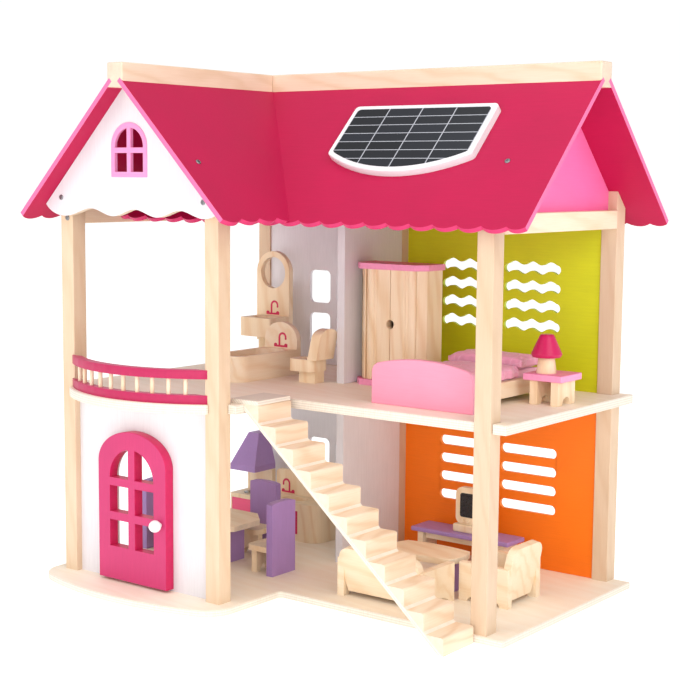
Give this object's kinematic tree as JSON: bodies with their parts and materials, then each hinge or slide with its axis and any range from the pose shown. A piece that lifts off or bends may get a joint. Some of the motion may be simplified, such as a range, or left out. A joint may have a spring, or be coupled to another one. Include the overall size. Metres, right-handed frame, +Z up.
{
  "type": "dollhouse",
  "caption": "Open two-storey wooden dollhouse with a gabled front wing, balcony, hinged arched door, scalloped roof, block stairs and furnished rooms",
  "frame": {"origin": "centre of the whole house's box in plan, on the ground under the base board", "axes": "+X right along the long side, +Y to the back, +Z up; the entrance and the balcony face -Y"},
  "size_m": [0.624, 0.4514, 0.6045],
  "materials": {
    "pine": "satin",
    "plywood": "satin",
    "white_board": "satin",
    "green_board": "satin",
    "orange_board": "satin",
    "roof_magenta": "satin",
    "pink_paint": "satin",
    "crimson_paint": "satin",
    "rose_paint": "satin",
    "purple_paint": "satin",
    "white_knob": "satin",
    "cell_black": "gloss",
    "steel": "satin",
    "bedding": "matte"
  },
  "bodies": {
    "house": {"attic_window_frame": "pink_paint", "balcony_balusters": "pine", "balcony_rails": "crimson_paint", "base_board": "plywood", "bathtub": "pine", "bed_footboard": "rose_paint", "bed_frame": "pine", "bed_pillow": "bedding", "bed_quilt": "bedding", "bedroom_back_wall": "green_board", "bench_frame": "pine", "bench_top": "purple_paint", "black_parts": "cell_black", "chair_backs": "purple_paint", "chair_seats": "pine", "entrance_wall": "white_board", "lamp_base": "pine", "lamp_shade": "crimson_paint", "living_back_wall": "orange_board", "main_posts": "pine", "main_ridge_beam": "pine", "main_roof_back": "roof_magenta", "main_roof_front": "roof_magenta", "nightstand_legs": "pine", "nightstand_top": "rose_paint", "partitions": "white_board", "screws": "steel", "side_beams": "pine", "side_gable_panels": "pink_paint", "sink_cabinet": "pine", "sofa_and_armchair": "pine", "solar_board": "white_board", "solar_cells": "cell_black", "stair_stringer": "plywood", "stair_treads": "pine", "stove": "pine", "stove_hood": "purple_paint", "table_and_coffee_legs": "purple_paint", "table_and_coffee_tops": "pine", "taps": "crimson_paint", "television": "pine", "toilet": "pine", "upper_floor": "plywood", "wall_hinges": "steel", "wardrobe_case": "pine", "wardrobe_plates": "rose_paint", "washbasin": "pine", "window_walls": "white_board", "wing_gable_panel": "white_board", "wing_posts": "pine", "wing_ridge_beam": "pine", "wing_roof_left": "roof_magenta", "wing_roof_right": "roof_magenta"},
    "front_door": {"front_door": "pink_paint", "door_knob": "white_knob", "door_hinges": "steel"},
    "wardrobe_left_door": {"wardrobe_door_left": "pine"},
    "wardrobe_right_door": {"wardrobe_door_right": "pine"},
    "oven_flap": {"oven_door": "pink_paint"},
    "sink_cupboard_door": {"sink_door": "crimson_paint"}
  },
  "joints": [
    {"name": "front_door_swing", "type": "hinge", "parent": "house", "child": "front_door", "pos_m": [-0.21, -0.16965, 0.0995], "axis": [0, 0, -1], "range_deg": [0, 90]},
    {"name": "wardrobe_left_swing", "type": "hinge", "parent": "house", "child": "wardrobe_left_door", "pos_m": [0.0017, 0.0685, 0.305], "axis": [0, 0, -1], "range_deg": [0, 90]},
    {"name": "wardrobe_right_swing", "type": "hinge", "parent": "house", "child": "wardrobe_right_door", "pos_m": [0.0643, 0.0685, 0.305], "axis": [0, 0, 1], "range_deg": [0, 90]},
    {"name": "oven_flap_swing", "type": "hinge", "parent": "house", "child": "oven_flap", "pos_m": [-0.24375, 0.11525, 0.016], "axis": [1, 0, 0], "range_deg": [0, 90]},
    {"name": "sink_door_swing", "type": "hinge", "parent": "house", "child": "sink_cupboard_door", "pos_m": [-0.1742, 0.10325, 0.0325], "axis": [0, 0, -1], "range_deg": [0, 90]}
  ]
}
